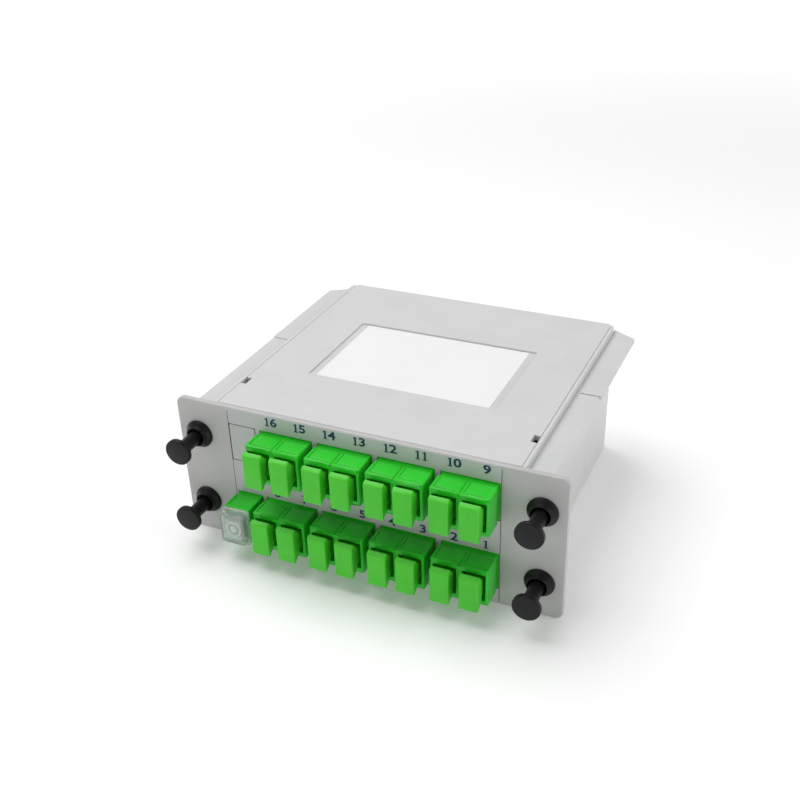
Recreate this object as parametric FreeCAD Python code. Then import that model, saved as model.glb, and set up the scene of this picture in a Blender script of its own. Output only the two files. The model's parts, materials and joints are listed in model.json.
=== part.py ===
import FreeCAD, Part
import math
import os

# A plug-in rack cassette that holds a one-to-sixteen planar fibre splitter, in millimetres.
# X runs along the front panel, Y runs into the rack and Z is up. The origin is the centre of the
# four plungers, in the plane where the back of the panel seats on the rack.

# Front panel and its printed sheet
PANEL_WIDTH = 130.0
PANEL_HEIGHT = 50.0
PANEL_THICKNESS = 1.6
PANEL_CORNER = 2.6
PANEL_EDGE = 0.4
EAR_GROOVE_WIDTH = 0.4
EAR_GROOVE_DEPTH = 0.3
SHEET_THICKNESS = 0.25
SHEET_LEFT = -46.0
SHEET_RIGHT = 45.2
SHEET_EDGE_MARGIN = 0.3
SHEET_CORNER = 0.8
TONGUE_LENGTH = 9.0
TONGUE_HEIGHT = 12.0
TONGUE_THICKNESS = 1.6
TONGUE_GAP = 0.1

# Housing
BODY_WIDTH = 103.2
BODY_DEPTH = 99.0
BODY_CORNER = 3.0
BODY_EDGE = 1.5
WALL = 2.2
FLOOR = 2.0
RIM = 1.2

# Rails at the sides of the housing
RAIL_DROP = 2.0
RAIL_THICKNESS = 1.2
FRONT_RAIL_REACH = 7.6
REAR_RAIL_REACH = 8.1
RACK_EDGE_GAP = 2.2
RAIL_SPLIT = 50.3
SLIT = 0.5
SLIT_ROOT = 1.1
RAIL_TAPER = 4.8
RAIL_CORNER = 0.6

# Top cover and its label
COVER_THICKNESS = 1.8
COVER_GAP = 0.15
RECESS_WIDTH = 65.5
RECESS_LENGTH = 41.0
RECESS_DEPTH = 0.6
RECESS_SHIFT = 1.4
RECESS_CORNER = 0.8
LABEL_SIDE_GAP = 2.55
LABEL_END_GAP = 0.4
LABEL_THICKNESS = 0.15
SNAP_CENTRE = 15.6
SNAP_LENGTH = 4.4
WINDOW_LENGTH = 4.0
WINDOW_WIDTH = 2.0
SNAP_LEG = 1.2
SNAP_LEG_LENGTH = 6.0
SNAP_CATCH = 1.5
SNAP_CATCH_HEIGHT = 1.6
SNAP_GAP = 0.15

# Adapters: where they stand on the panel
PAIR_COUNT = 4
PAIR_PITCH = 20.3
LAST_PAIR_X = 35.6
ROW_SPACING = 25.1
INPUT_X = -40.5
BLANK_X = -41.0
CUT_OUT_GAP = 0.1

# Adapters: the moulding
PORT_WIDTH = 9.2
ADAPTER_HEIGHT = 13.0
ADAPTER_REACH = 9.4
ADAPTER_CORNER = 0.45
ADAPTER_BEVEL = 0.35
NECK_LENGTH = 2.4
NECK_INSET = 0.5
LIP = 0.6
LIP_THICKNESS = 1.8
REAR_INSET = 0.2
REAR_REACH = 15.4
MID_WALL_FRONT = -0.6
MID_WALL_THICKNESS = 2.0
OPENING_WIDTH = 7.4
OPENING_HEIGHT = 9.3
GROOVE_WIDTH = 0.35
GROOVE_DEPTH = 0.3
RIB_WIDTH = 1.0
GROOVE_STOP = 0.9
KEYWAY_HEIGHT = 2.4
KEYWAY_DEPTH = 0.55
KEYWAY_LENGTH = 7.5
HOOK_WIDTH = 2.6
HOOK_THICKNESS = 0.7
HOOK_LENGTH = 5.6
HOOK_SPREAD = 7.0
HOOK_TIP = 0.3
HOOK_TIP_LENGTH = 0.9
TUBE_RADIUS = 2.15
INSERT_PLATE = 0.8
INSERT_GAP = 0.1
TUBE_REACH = 4.8
TUBE_LIP = 0.25
TUBE_LIP_RADIUS = 1.4

# Alignment sleeves and the plugs behind them
SLEEVE_RADIUS = 1.6
SLEEVE_BORE = 1.28
SLEEVE_LENGTH = 11.0
SLEEVE_GAP = 0.05
SLEEVE_SPLIT = 0.4
FERRULE_RADIUS = 1.25
PLUG_GAP = 0.15
NOSE_WIDTH = 5.6
NOSE_HEIGHT = 6.2
NOSE_LENGTH = 6.2
TUBE_GAP = 0.1
GRIP_LENGTH = 18.0
GRIP_BEVEL = 0.5
PLUG_COLLAR_RADIUS = 2.9
PLUG_COLLAR_LENGTH = 3.0
BOOT_RADIUS = 2.4
BOOT_TIP_RADIUS = 1.5
BOOT_LENGTH = 13.0

# Dust caps
CAP_STANDOFF = 0.9
CAP_HANDLE_DEPTH = 3.5
CAP_SLOPE_DEPTH = 1.6
CAP_SLOPE_DROP = 0.8
CAP_WIDTH = 6.1
CAP_HEIGHT = 12.2
CAP_BEVEL = 0.3
CAP_SHOULDER = 7.4
CAP_PLUG_WIDTH = 5.5
CAP_PLUG_HEIGHT = 6.2
CAP_END_GAP = 0.3
CAP_BORE_DEPTH = 6.0

# Clear cap of the input port
CLEAR_PLATE_WIDTH = 9.6
CLEAR_PLATE_HEIGHT = 12.6
CLEAR_PLATE = 1.0
CLEAR_STANDOFF = 0.1
CLEAR_BOX_WIDTH = 8.6
CLEAR_BOX_HEIGHT = 10.4
CLEAR_BOX_DEPTH = 2.2
CLEAR_WALL = 0.8
CLEAR_SKIRT_LENGTH = 3.6
CLEAR_SKIRT_GAP = 0.1
CLEAR_TUBE_RADIUS = 2.75
CLEAR_TUBE_LENGTH = 11.4
CLEAR_CORNER = 0.8
CLEAR_LUG_REACH = 1.2
CLEAR_LUG_HEIGHT = 2.6
CLEAR_LUG_RISE = 2.5

# Plungers and the split sleeves that they slide in
PLUNGER_SPACING_X = 115.0
PLUNGER_SPACING_Z = 25.4
BARREL_RADIUS = 3.1
BARREL_REACH = 6.4
NECK_RADIUS = 2.9
BARREL_TAPER = 1.2
BARREL_TIP_RADIUS = 2.75
BARREL_HOLE_GAP = 0.05
FLANGE_RADIUS = 4.75
FLANGE_EDGE = 0.7
FLANGE_THICKNESS = 1.9
HUB_RADIUS = 3.4
HUB_HEIGHT = 0.9
BARREL_SLIT = 0.8
BARREL_SLIT_START = 1.0
SLIT_TURN = 45.0
STEM_RADIUS = 2.25
STEM_GAP = 0.1
STEM_TIP = 0.8
STEM_INSIDE = 4.6
PLUNGER_TRAVEL = 7.7
PLUNGER_STOP_GAP = 0.3
FLARE_RADIUS = 2.9
FLARE_LENGTH = 1.5
HEAD_RADIUS = 4.4
HEAD_THICKNESS = 1.6
HEAD_CONE = 0.6
HEAD_ROUND = 0.5
HEAD_ROUND_STEPS = 3

# Fibre tray and splitter module inside the housing
TRAY_FRONT = 46.0
TRAY_REAR_GAP = 1.5
TRAY_SIDE_GAP = 2.0
TRAY_THICKNESS = 1.6
TRAY_CORNER = 4.0
POST_HEIGHT = 6.0
POST_RADIUS = 2.4
POST_INSET = 6.0
POST_PIN_RADIUS = 1.2
POST_PIN_HEIGHT = 1.4
PIN_GAP = 0.1
SPOOL_RADIUS = 15.0
SPOOL_WALL = 1.4
SPOOL_HEIGHT = 12.0
SPOOL_SPACING = 48.0
SPOOL_TO_MODULE = 23.5
FINGER_COUNT = 4
FINGER_REACH = 5.0
FINGER_WIDTH = 6.0
FINGER_THICKNESS = 1.0
MODULE_LENGTH = 60.0
MODULE_WIDTH = 12.0
MODULE_HEIGHT = 4.0
MODULE_INSET = 7.8
MODULE_CORNER = 0.6
MODULE_BOOT_LENGTH = 4.0
MODULE_BOOT_WIDTH = 8.0
MODULE_BOOT_HEIGHT = 2.6
CRADLE_WALL = 1.4
CRADLE_GAP = 0.1
CRADLE_HEIGHT = 5.2
CRADLE_LENGTH = 10.0
CRADLE_SPACING = 36.0

# Planes and centres that follow from the sizes above
PANEL_FRONT = -PANEL_THICKNESS
SHEET_FRONT = PANEL_FRONT - SHEET_THICKNESS
BODY_TOP = PANEL_HEIGHT / 2
BODY_BOTTOM = -PANEL_HEIGHT / 2
BODY_SIDE = BODY_WIDTH / 2
INNER_SIDE = BODY_SIDE - WALL
LEDGE = BODY_TOP - COVER_THICKNESS
WINDOW_INNER = BODY_SIDE - RIM - COVER_GAP - WINDOW_WIDTH
RECESS_CENTRE = BODY_DEPTH / 2 - RECESS_SHIFT
LABEL_WIDTH = RECESS_WIDTH - 2 * LABEL_SIDE_GAP
LABEL_LENGTH = RECESS_LENGTH - 2 * LABEL_END_GAP
TRAY_REAR = BODY_DEPTH - WALL - TRAY_REAR_GAP
MODULE_CENTRE = TRAY_REAR - MODULE_INSET
SPOOL_CENTRE = MODULE_CENTRE - SPOOL_TO_MODULE
RAIL_TOP = BODY_TOP - RAIL_DROP
ADAPTER_FRONT = PANEL_FRONT - ADAPTER_REACH
MID_WALL_REAR = MID_WALL_FRONT + MID_WALL_THICKNESS
UPPER_ROW = ROW_SPACING / 2
LOWER_ROW = -ROW_SPACING / 2
TUBE_FRONT = MID_WALL_FRONT - TUBE_REACH
TUBE_REAR = MID_WALL_REAR + TUBE_REACH
TUBE_BORE = SLEEVE_RADIUS + SLEEVE_GAP
PLUG_BORE = TUBE_RADIUS + TUBE_GAP
SLEEVE_CENTRE = (MID_WALL_FRONT + MID_WALL_REAR) / 2
HUB_FRONT = PANEL_FRONT - FLANGE_THICKNESS - HUB_HEIGHT
HEAD_BACK = HUB_FRONT - PLUNGER_STOP_GAP - PLUNGER_TRAVEL
TRAY_TOP = BODY_BOTTOM + FLOOR + POST_HEIGHT + TRAY_THICKNESS


def pair_centres():
    """X of each adapter pair, from the right end of the panel to the left."""
    return [LAST_PAIR_X - i * PAIR_PITCH for i in range(PAIR_COUNT)]


def bar(width, height, front, rear, x=0.0, z=0.0):
    """A rectangular bar along Y, centred on x and z."""
    corner = FreeCAD.Vector(x - width / 2, front, z - height / 2)
    return Part.makeBox(width, rear - front, height, corner)


def slab(left, right, front, rear, bottom, top):
    """A rectangular block between six planes."""
    return Part.makeBox(right - left, rear - front, top - bottom, FreeCAD.Vector(left, front, bottom))


def rod(radius, front, rear, x=0.0, z=0.0):
    """A round bar along Y."""
    return Part.makeCylinder(radius, rear - front, FreeCAD.Vector(x, front, z), FreeCAD.Vector(0, 1, 0))


def turned(profile):
    """A solid turned about the Y axis from a list of (radius, y) points."""
    wire = Part.makePolygon([FreeCAD.Vector(r, y, 0) for r, y in profile + profile[:1]])
    return Part.Face(wire).revolve(FreeCAD.Vector(0, 0, 0), FreeCAD.Vector(0, 1, 0), 360)


def edges_along(shape, axis, keep):
    """The straight edges of a shape that run along one axis and whose middle passes the test."""
    found = []
    for edge in shape.Edges:
        if edge.Curve.TypeId != "Part::GeomLine":
            continue
        run = edge.valueAt(edge.LastParameter) - edge.valueAt(edge.FirstParameter)
        if abs(getattr(run, axis)) > 0.999 * run.Length and keep(edge.CenterOfMass):
            found.append(edge)
    return found


def moved(shape, x=0.0, y=0.0, z=0.0):
    """A copy of a shape at another place."""
    copy = shape.copy()
    copy.translate(FreeCAD.Vector(x, y, z))
    return copy


def mirrored(shape):
    """A shape reflected left to right."""
    return shape.mirror(FreeCAD.Vector(0, 0, 0), FreeCAD.Vector(1, 0, 0))


def front_cut_outs(gap, front, rear):
    """Bars that cut the windows of all adapters and of the blank position."""
    height = ADAPTER_HEIGHT + 2 * gap
    pair = 2 * PORT_WIDTH + 2 * gap
    cuts = [bar(pair, height, front, rear, x, z) for x in pair_centres() for z in (UPPER_ROW, LOWER_ROW)]
    cuts.append(bar(PORT_WIDTH + 2 * gap, height, front, rear, INPUT_X, LOWER_ROW))
    cuts.append(bar(PORT_WIDTH + 2 * gap, height, front, rear, BLANK_X, UPPER_ROW))
    return cuts


def plunger_places():
    """Names and centres of the four plungers."""
    x = PLUNGER_SPACING_X / 2
    z = PLUNGER_SPACING_Z / 2
    return {"upper_left": (-x, z), "upper_right": (x, z), "lower_left": (-x, -z), "lower_right": (x, -z)}


def front_panel():
    """The panel with its windows, plunger holes, ear grooves and the tongues that hold it in the housing."""
    plate = bar(PANEL_WIDTH, PANEL_HEIGHT, PANEL_FRONT, 0)
    plate = plate.makeFillet(PANEL_CORNER, edges_along(plate, "y", lambda c: True))
    plate = plate.makeFillet(PANEL_EDGE, [e for e in plate.Edges if abs(e.CenterOfMass.y - PANEL_FRONT) < 0.01])
    cuts = front_cut_outs(CUT_OUT_GAP, PANEL_FRONT - 1, 1)
    for x, z in plunger_places().values():
        cuts.append(rod(BARREL_RADIUS + BARREL_HOLE_GAP, PANEL_FRONT - 1, 1, x, z))
    groove = slab(BODY_SIDE, BODY_SIDE + EAR_GROOVE_WIDTH, -EAR_GROOVE_DEPTH, 1, -PANEL_HEIGHT, PANEL_HEIGHT)
    cuts += [groove, mirrored(groove)]
    plate = plate.cut(cuts)
    outer = INNER_SIDE - TONGUE_GAP
    tongue = slab(outer - TONGUE_THICKNESS, outer, 0, TONGUE_LENGTH, -TONGUE_HEIGHT / 2, TONGUE_HEIGHT / 2)
    return plate.fuse([tongue, mirrored(tongue)]).removeSplitter()


def panel_sheet():
    """The printed sheet on the panel, open round every adapter."""
    half = PANEL_HEIGHT / 2 - SHEET_EDGE_MARGIN
    sheet = slab(SHEET_LEFT, SHEET_RIGHT, SHEET_FRONT, PANEL_FRONT, -half, half)
    sheet = sheet.makeFillet(SHEET_CORNER, edges_along(sheet, "y", lambda c: True))
    return sheet.cut(front_cut_outs(CUT_OUT_GAP, SHEET_FRONT - 1, 0))


def blanking_plate():
    """The plate that closes the one position with no adapter, with a lip behind the panel."""
    face = bar(PORT_WIDTH, ADAPTER_HEIGHT, SHEET_FRONT, 0, BLANK_X, UPPER_ROW)
    face = face.makeFillet(ADAPTER_CORNER, edges_along(face, "y", lambda c: True))
    lip = bar(PORT_WIDTH + 2 * LIP, ADAPTER_HEIGHT + 2 * LIP, 0, LIP_THICKNESS, BLANK_X, UPPER_ROW)
    return face.fuse(lip)


def rail(side_wall):
    """The rails of the right side: a short front one and a long rear one with a slanted end."""
    bottom = RAIL_TOP - RAIL_THICKNESS
    inner = side_wall - WALL / 2
    front_end = RAIL_SPLIT - SLIT / 2
    rear_start = RAIL_SPLIT + SLIT / 2
    front_edge = side_wall + FRONT_RAIL_REACH
    rear_edge = side_wall + REAR_RAIL_REACH
    outline = [
        (inner, RACK_EDGE_GAP),
        (front_edge, RACK_EDGE_GAP),
        (front_edge, front_end),
        (side_wall + SLIT_ROOT, front_end),
        (side_wall + SLIT_ROOT, rear_start),
        (rear_edge, rear_start),
        (rear_edge, BODY_DEPTH - RAIL_TAPER),
        (side_wall, BODY_DEPTH),
        (inner, BODY_DEPTH - BODY_CORNER),
    ]
    wire = Part.makePolygon([FreeCAD.Vector(x, y, bottom) for x, y in outline + outline[:1]])
    shape = Part.Face(wire).extrude(FreeCAD.Vector(0, 0, RAIL_THICKNESS))
    outer = edges_along(shape, "z", lambda c: c.x > front_edge - 0.1)
    return shape.makeFillet(RAIL_CORNER, outer)


def tray_posts():
    """Places of the posts that carry the fibre tray."""
    side = INNER_SIDE - TRAY_SIDE_GAP - POST_INSET
    rear = TRAY_REAR - POST_INSET
    return [(x, y) for x in (-side, side) for y in (TRAY_FRONT + POST_INSET, rear)]


def housing():
    """The open-topped box behind the panel, with its rails, ledge, snap pockets and tray posts."""
    shell = slab(-BODY_SIDE, BODY_SIDE, 0, BODY_DEPTH, BODY_BOTTOM, BODY_TOP)
    rear_corners = edges_along(shell, "z", lambda c: c.y > BODY_DEPTH / 2)
    shell = shell.makeFillet(BODY_CORNER, rear_corners)
    under = [e for e in shell.Edges if abs(e.CenterOfMass.z - BODY_BOTTOM) < 0.01 and e.CenterOfMass.y > 0.01]
    shell = shell.makeFillet(BODY_EDGE, under)
    right_rails = rail(BODY_SIDE)
    shell = shell.fuse([right_rails, mirrored(right_rails)])
    room = slab(-INNER_SIDE, INNER_SIDE, -1, BODY_DEPTH - WALL, BODY_BOTTOM + FLOOR, BODY_TOP + 1)
    seat = BODY_SIDE - RIM
    cover_seat = slab(-seat, seat, -1, BODY_DEPTH + 1, LEDGE, BODY_TOP + 1)
    cuts = [room, cover_seat]
    pocket_top = LEDGE - SNAP_LEG_LENGTH + SNAP_CATCH_HEIGHT + SNAP_GAP
    pocket_bottom = LEDGE - SNAP_LEG_LENGTH - SNAP_GAP
    half = SNAP_LENGTH / 2 + SNAP_GAP
    depth = SNAP_CATCH + SNAP_GAP
    pocket = slab(INNER_SIDE - 1, INNER_SIDE + depth, SNAP_CENTRE - half, SNAP_CENTRE + half,
                  pocket_bottom, pocket_top)
    slot = slab(INNER_SIDE - 1, seat, SNAP_CENTRE - half, SNAP_CENTRE + half, pocket_bottom, LEDGE + 1)
    cuts += [pocket, mirrored(pocket), slot, mirrored(slot)]
    shell = shell.cut(cuts)
    floor_top = BODY_BOTTOM + FLOOR
    up = FreeCAD.Vector(0, 0, 1)
    posts = []
    for x, y in tray_posts():
        posts.append(Part.makeCylinder(POST_RADIUS, POST_HEIGHT, FreeCAD.Vector(x, y, floor_top), up))
        top = FreeCAD.Vector(x, y, floor_top + POST_HEIGHT)
        posts.append(Part.makeCylinder(POST_PIN_RADIUS, POST_PIN_HEIGHT, top, up))
    return shell.fuse(posts).removeSplitter()


def cover_leg():
    """The snap leg under the cover, just inside its right window, with the catch under the window."""
    outer = WINDOW_INNER
    front = SNAP_CENTRE - SNAP_LENGTH / 2
    rear = SNAP_CENTRE + SNAP_LENGTH / 2
    foot = LEDGE - SNAP_LEG_LENGTH
    leg = slab(outer - SNAP_LEG, outer, front, rear, foot, LEDGE)
    catch = slab(outer, INNER_SIDE + SNAP_CATCH, front, rear, foot, foot + SNAP_CATCH_HEIGHT)
    return leg.fuse(catch)


def top_cover():
    """The lid, flush with the rim of the housing, with its label recess and two snap windows."""
    side = BODY_SIDE - RIM - COVER_GAP
    lid = slab(-side, side, COVER_GAP, BODY_DEPTH, LEDGE, BODY_TOP)
    lid = lid.makeFillet(BODY_CORNER - RIM, edges_along(lid, "z", lambda c: c.y > BODY_DEPTH / 2))
    recess = slab(-RECESS_WIDTH / 2, RECESS_WIDTH / 2, RECESS_CENTRE - RECESS_LENGTH / 2,
                  RECESS_CENTRE + RECESS_LENGTH / 2, BODY_TOP - RECESS_DEPTH, BODY_TOP + 1)
    recess = recess.makeFillet(RECESS_CORNER, edges_along(recess, "z", lambda c: True))
    window = slab(WINDOW_INNER, side + 1, SNAP_CENTRE - WINDOW_LENGTH / 2,
                  SNAP_CENTRE + WINDOW_LENGTH / 2, LEDGE - 1, BODY_TOP + 1)
    lid = lid.cut([recess, window, mirrored(window)])
    leg = cover_leg()
    return lid.fuse([leg, mirrored(leg)]).removeSplitter()


def cover_label():
    """The blank white label that lies in the recess of the cover."""
    bottom = BODY_TOP - RECESS_DEPTH
    return slab(-LABEL_WIDTH / 2, LABEL_WIDTH / 2, RECESS_CENTRE - LABEL_LENGTH / 2,
                RECESS_CENTRE + LABEL_LENGTH / 2, bottom, bottom + LABEL_THICKNESS)


def port_room(x):
    """What is cut from an adapter for one port: both openings, the keyways and the grooves on top."""
    left = x - PORT_WIDTH / 2
    top = ADAPTER_HEIGHT / 2
    front = ADAPTER_FRONT - 1
    cuts = [
        bar(OPENING_WIDTH, OPENING_HEIGHT, front, MID_WALL_FRONT, x),
        bar(OPENING_WIDTH, OPENING_HEIGHT, MID_WALL_REAR, REAR_REACH + 1, x),
        bar(2 * KEYWAY_DEPTH, KEYWAY_HEIGHT, front, ADAPTER_FRONT + KEYWAY_LENGTH, x - OPENING_WIDTH / 2),
        rod(TUBE_RADIUS + INSERT_GAP, MID_WALL_FRONT - 1, MID_WALL_REAR + 1, x),
    ]
    groove_left = left + RIB_WIDTH
    groove_front = ADAPTER_FRONT + GROOVE_STOP
    for bottom in (top - GROOVE_DEPTH, -top - 1):
        cuts.append(slab(groove_left, groove_left + GROOVE_WIDTH, groove_front,
                         PANEL_FRONT - NECK_LENGTH, bottom, bottom + 1 + GROOVE_DEPTH))
        cuts.append(slab(groove_left, left + PORT_WIDTH - RIB_WIDTH, groove_front,
                         groove_front + GROOVE_WIDTH, bottom, bottom + 1 + GROOVE_DEPTH))
    return cuts


def latch_insert():
    """The latch insert in the front of a port: plate, two hooks and half of the sleeve holder."""
    plate_front = MID_WALL_FRONT - INSERT_PLATE
    plate = bar(HOOK_WIDTH, HOOK_SPREAD + 2 * HOOK_THICKNESS, plate_front, MID_WALL_FRONT)
    end = MID_WALL_FRONT - HOOK_LENGTH
    pieces = [rod(TUBE_RADIUS, TUBE_FRONT, SLEEVE_CENTRE)]
    for side in (-1, 1):
        middle = side * (HOOK_SPREAD + HOOK_THICKNESS) / 2
        tip = side * (HOOK_SPREAD - HOOK_TIP) / 2
        pieces.append(bar(HOOK_WIDTH, HOOK_THICKNESS, end, plate_front, 0, middle))
        pieces.append(bar(HOOK_WIDTH, HOOK_TIP, end, end + HOOK_TIP_LENGTH, 0, tip))
    insert = plate.fuse(pieces)
    insert = insert.cut(rod(TUBE_BORE, TUBE_FRONT + TUBE_LIP, SLEEVE_CENTRE + 1))
    return insert.cut(rod(TUBE_LIP_RADIUS, TUBE_FRONT - 1, SLEEVE_CENTRE)).removeSplitter()


def latch_inserts(x, z):
    """The two latch inserts of one port, back to back through the wall in its middle."""
    front = latch_insert()
    rear = front.mirror(FreeCAD.Vector(0, SLEEVE_CENTRE, 0), FreeCAD.Vector(0, 1, 0))
    return [moved(front, x, 0, z), moved(rear, x, 0, z)]


def adapter_body(port_count):
    """One adapter, both halves together, centred on its own middle, with one or two ports."""
    width = port_count * PORT_WIDTH
    neck_front = PANEL_FRONT - NECK_LENGTH
    collar = bar(width, ADAPTER_HEIGHT, ADAPTER_FRONT, neck_front)
    collar = collar.makeFillet(ADAPTER_CORNER, edges_along(collar, "y", lambda c: True))
    rim = [e for e in collar.Edges if abs(e.CenterOfMass.y - ADAPTER_FRONT) < 0.01]
    collar = collar.makeChamfer(ADAPTER_BEVEL, rim)
    neck = bar(width - 2 * NECK_INSET, ADAPTER_HEIGHT - 2 * NECK_INSET, neck_front, PANEL_FRONT)
    seat = bar(width, ADAPTER_HEIGHT, PANEL_FRONT, 0)
    lip = bar(width + 2 * LIP, ADAPTER_HEIGHT + 2 * LIP, 0, LIP_THICKNESS)
    rear = bar(width - 2 * REAR_INSET, ADAPTER_HEIGHT - 2 * REAR_INSET, LIP_THICKNESS, REAR_REACH)
    body = collar.fuse([neck, seat, lip, rear])
    ports = [(i - (port_count - 1) / 2) * PORT_WIDTH for i in range(port_count)]
    cuts = [cut for x in ports for cut in port_room(x)]
    if port_count > 1:
        cuts.append(bar(GROOVE_WIDTH, 2 * GROOVE_DEPTH, ADAPTER_FRONT - 1, neck_front, 0, ADAPTER_HEIGHT / 2))
        cuts.append(bar(GROOVE_WIDTH, 2 * GROOVE_DEPTH, ADAPTER_FRONT - 1, neck_front, 0, -ADAPTER_HEIGHT / 2))
    return body.cut(cuts).removeSplitter()


def adapter_halves(port_count):
    """The front and rear halves of an adapter, welded together in the middle of its inner wall."""
    body = adapter_body(port_count)
    reach = port_count * PORT_WIDTH
    ahead = slab(-reach, reach, ADAPTER_FRONT - 1, SLEEVE_CENTRE, -ADAPTER_HEIGHT, ADAPTER_HEIGHT)
    return body.common(ahead), body.cut(ahead)


def alignment_sleeve():
    """The split ceramic sleeve that lines two ferrules up."""
    front = SLEEVE_CENTRE - SLEEVE_LENGTH / 2
    rear = SLEEVE_CENTRE + SLEEVE_LENGTH / 2
    sleeve = rod(SLEEVE_RADIUS, front, rear)
    sleeve = sleeve.cut(rod(SLEEVE_BORE, front - 1, rear + 1))
    return sleeve.cut(slab(-SLEEVE_SPLIT / 2, SLEEVE_SPLIT / 2, front - 1, rear + 1, 0, SLEEVE_RADIUS + 1))


def inner_plug():
    """The plug behind one port: nose, ferrule, grip, collar and boot."""
    nose_front = MID_WALL_REAR + INSERT_PLATE + PLUG_GAP
    grip_front = nose_front + NOSE_LENGTH
    grip_rear = grip_front + GRIP_LENGTH
    collar_rear = grip_rear + PLUG_COLLAR_LENGTH
    nose = bar(NOSE_WIDTH, NOSE_HEIGHT, nose_front, grip_front)
    nose = nose.cut(rod(PLUG_BORE, nose_front - 1, TUBE_REAR + PLUG_GAP))
    grip = bar(OPENING_WIDTH - 2 * PLUG_GAP, OPENING_HEIGHT - 2 * PLUG_GAP, grip_front, grip_rear)
    grip = grip.makeChamfer(GRIP_BEVEL, edges_along(grip, "y", lambda c: True))
    ferrule = rod(FERRULE_RADIUS, SLEEVE_CENTRE, grip_front)
    collar = rod(PLUG_COLLAR_RADIUS, grip_rear, collar_rear)
    boot = Part.makeCone(BOOT_RADIUS, BOOT_TIP_RADIUS, BOOT_LENGTH, FreeCAD.Vector(0, collar_rear, 0),
                         FreeCAD.Vector(0, 1, 0))
    return nose.fuse([grip, ferrule, collar, boot]).removeSplitter()


def dust_cap():
    """A green dust cap, centred on its port: a handle that narrows to the back and a bored plug."""
    front = ADAPTER_FRONT - CAP_STANDOFF - CAP_HANDLE_DEPTH
    back = ADAPTER_FRONT - CAP_STANDOFF
    top = CAP_HEIGHT / 2
    shoulder = CAP_SHOULDER / 2
    outline = [
        (front, -top),
        (front, top - CAP_SLOPE_DROP),
        (front + CAP_SLOPE_DEPTH, top),
        (back, shoulder),
        (back, -shoulder),
    ]
    wire = Part.makePolygon([FreeCAD.Vector(-CAP_WIDTH / 2, y, z) for y, z in outline + outline[:1]])
    handle = Part.Face(wire).extrude(FreeCAD.Vector(CAP_WIDTH, 0, 0))
    face = [e for e in handle.Edges if abs(e.CenterOfMass.y - front) < 0.01]
    handle = handle.makeChamfer(CAP_BEVEL, face)
    end = MID_WALL_FRONT - INSERT_PLATE - CAP_END_GAP
    plug = bar(CAP_PLUG_WIDTH, CAP_PLUG_HEIGHT, back, end)
    plug = plug.cut(rod(PLUG_BORE, end - CAP_BORE_DEPTH, end + 1))
    return handle.fuse(plug).removeSplitter()


def clear_cap():
    """The clear cap of the input port: plate, hollow front box, skirt, inner tube and side lug."""
    plate_rear = ADAPTER_FRONT - CLEAR_STANDOFF
    plate_front = plate_rear - CLEAR_PLATE
    box_front = plate_front - CLEAR_BOX_DEPTH
    plate = bar(CLEAR_PLATE_WIDTH, CLEAR_PLATE_HEIGHT, plate_front, plate_rear)
    plate = plate.makeFillet(CLEAR_CORNER, edges_along(plate, "y", lambda c: True))
    box = bar(CLEAR_BOX_WIDTH, CLEAR_BOX_HEIGHT, box_front, plate_front)
    box = box.makeFillet(CLEAR_CORNER, edges_along(box, "y", lambda c: True))
    skirt_width = OPENING_WIDTH - 2 * CLEAR_SKIRT_GAP
    skirt_height = OPENING_HEIGHT - 2 * CLEAR_SKIRT_GAP
    skirt_rear = plate_rear + CLEAR_SKIRT_LENGTH
    skirt = bar(skirt_width, skirt_height, plate_rear, skirt_rear)
    lug_edge = -CLEAR_PLATE_WIDTH / 2 - CLEAR_LUG_REACH
    lug = slab(lug_edge, 0, plate_front, plate_rear, CLEAR_LUG_RISE - CLEAR_LUG_HEIGHT / 2,
               CLEAR_LUG_RISE + CLEAR_LUG_HEIGHT / 2)
    cap = plate.fuse([box, skirt, lug])
    hollow = bar(skirt_width - 2 * CLEAR_WALL, skirt_height - 2 * CLEAR_WALL, box_front + CLEAR_WALL,
                 skirt_rear + 1)
    cap = cap.cut(hollow)
    tube_front = box_front + CLEAR_WALL
    tube = rod(CLEAR_TUBE_RADIUS, tube_front, tube_front + CLEAR_TUBE_LENGTH)
    tube = tube.cut(rod(PLUG_BORE, tube_front, tube_front + CLEAR_TUBE_LENGTH + 1))
    return cap.fuse(tube).removeSplitter()


def plunger_sleeve():
    """The split sleeve of a plunger: flange, hub and a barrel with four legs."""
    flange_front = PANEL_FRONT - FLANGE_THICKNESS
    bore = STEM_RADIUS + STEM_GAP
    mouth = FLARE_RADIUS + STEM_GAP
    shape = turned([
        (bore, HUB_FRONT + FLARE_LENGTH),
        (mouth, HUB_FRONT),
        (HUB_RADIUS, HUB_FRONT),
        (HUB_RADIUS, flange_front),
        (FLANGE_RADIUS, PANEL_FRONT - FLANGE_EDGE),
        (FLANGE_RADIUS, PANEL_FRONT),
        (NECK_RADIUS, PANEL_FRONT),
        (NECK_RADIUS, 0),
        (BARREL_RADIUS, 0),
        (BARREL_RADIUS, BARREL_REACH - BARREL_TAPER),
        (BARREL_TIP_RADIUS, BARREL_REACH),
        (bore, BARREL_REACH),
    ])
    slit = bar(2 * FLANGE_RADIUS, BARREL_SLIT, BARREL_SLIT_START, BARREL_REACH + 1)
    cross = bar(BARREL_SLIT, 2 * FLANGE_RADIUS, BARREL_SLIT_START, BARREL_REACH + 1)
    cuts = slit.fuse(cross)
    cuts.rotate(FreeCAD.Vector(0, 0, 0), FreeCAD.Vector(0, 1, 0), SLIT_TURN)
    return shape.cut(cuts)


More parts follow.
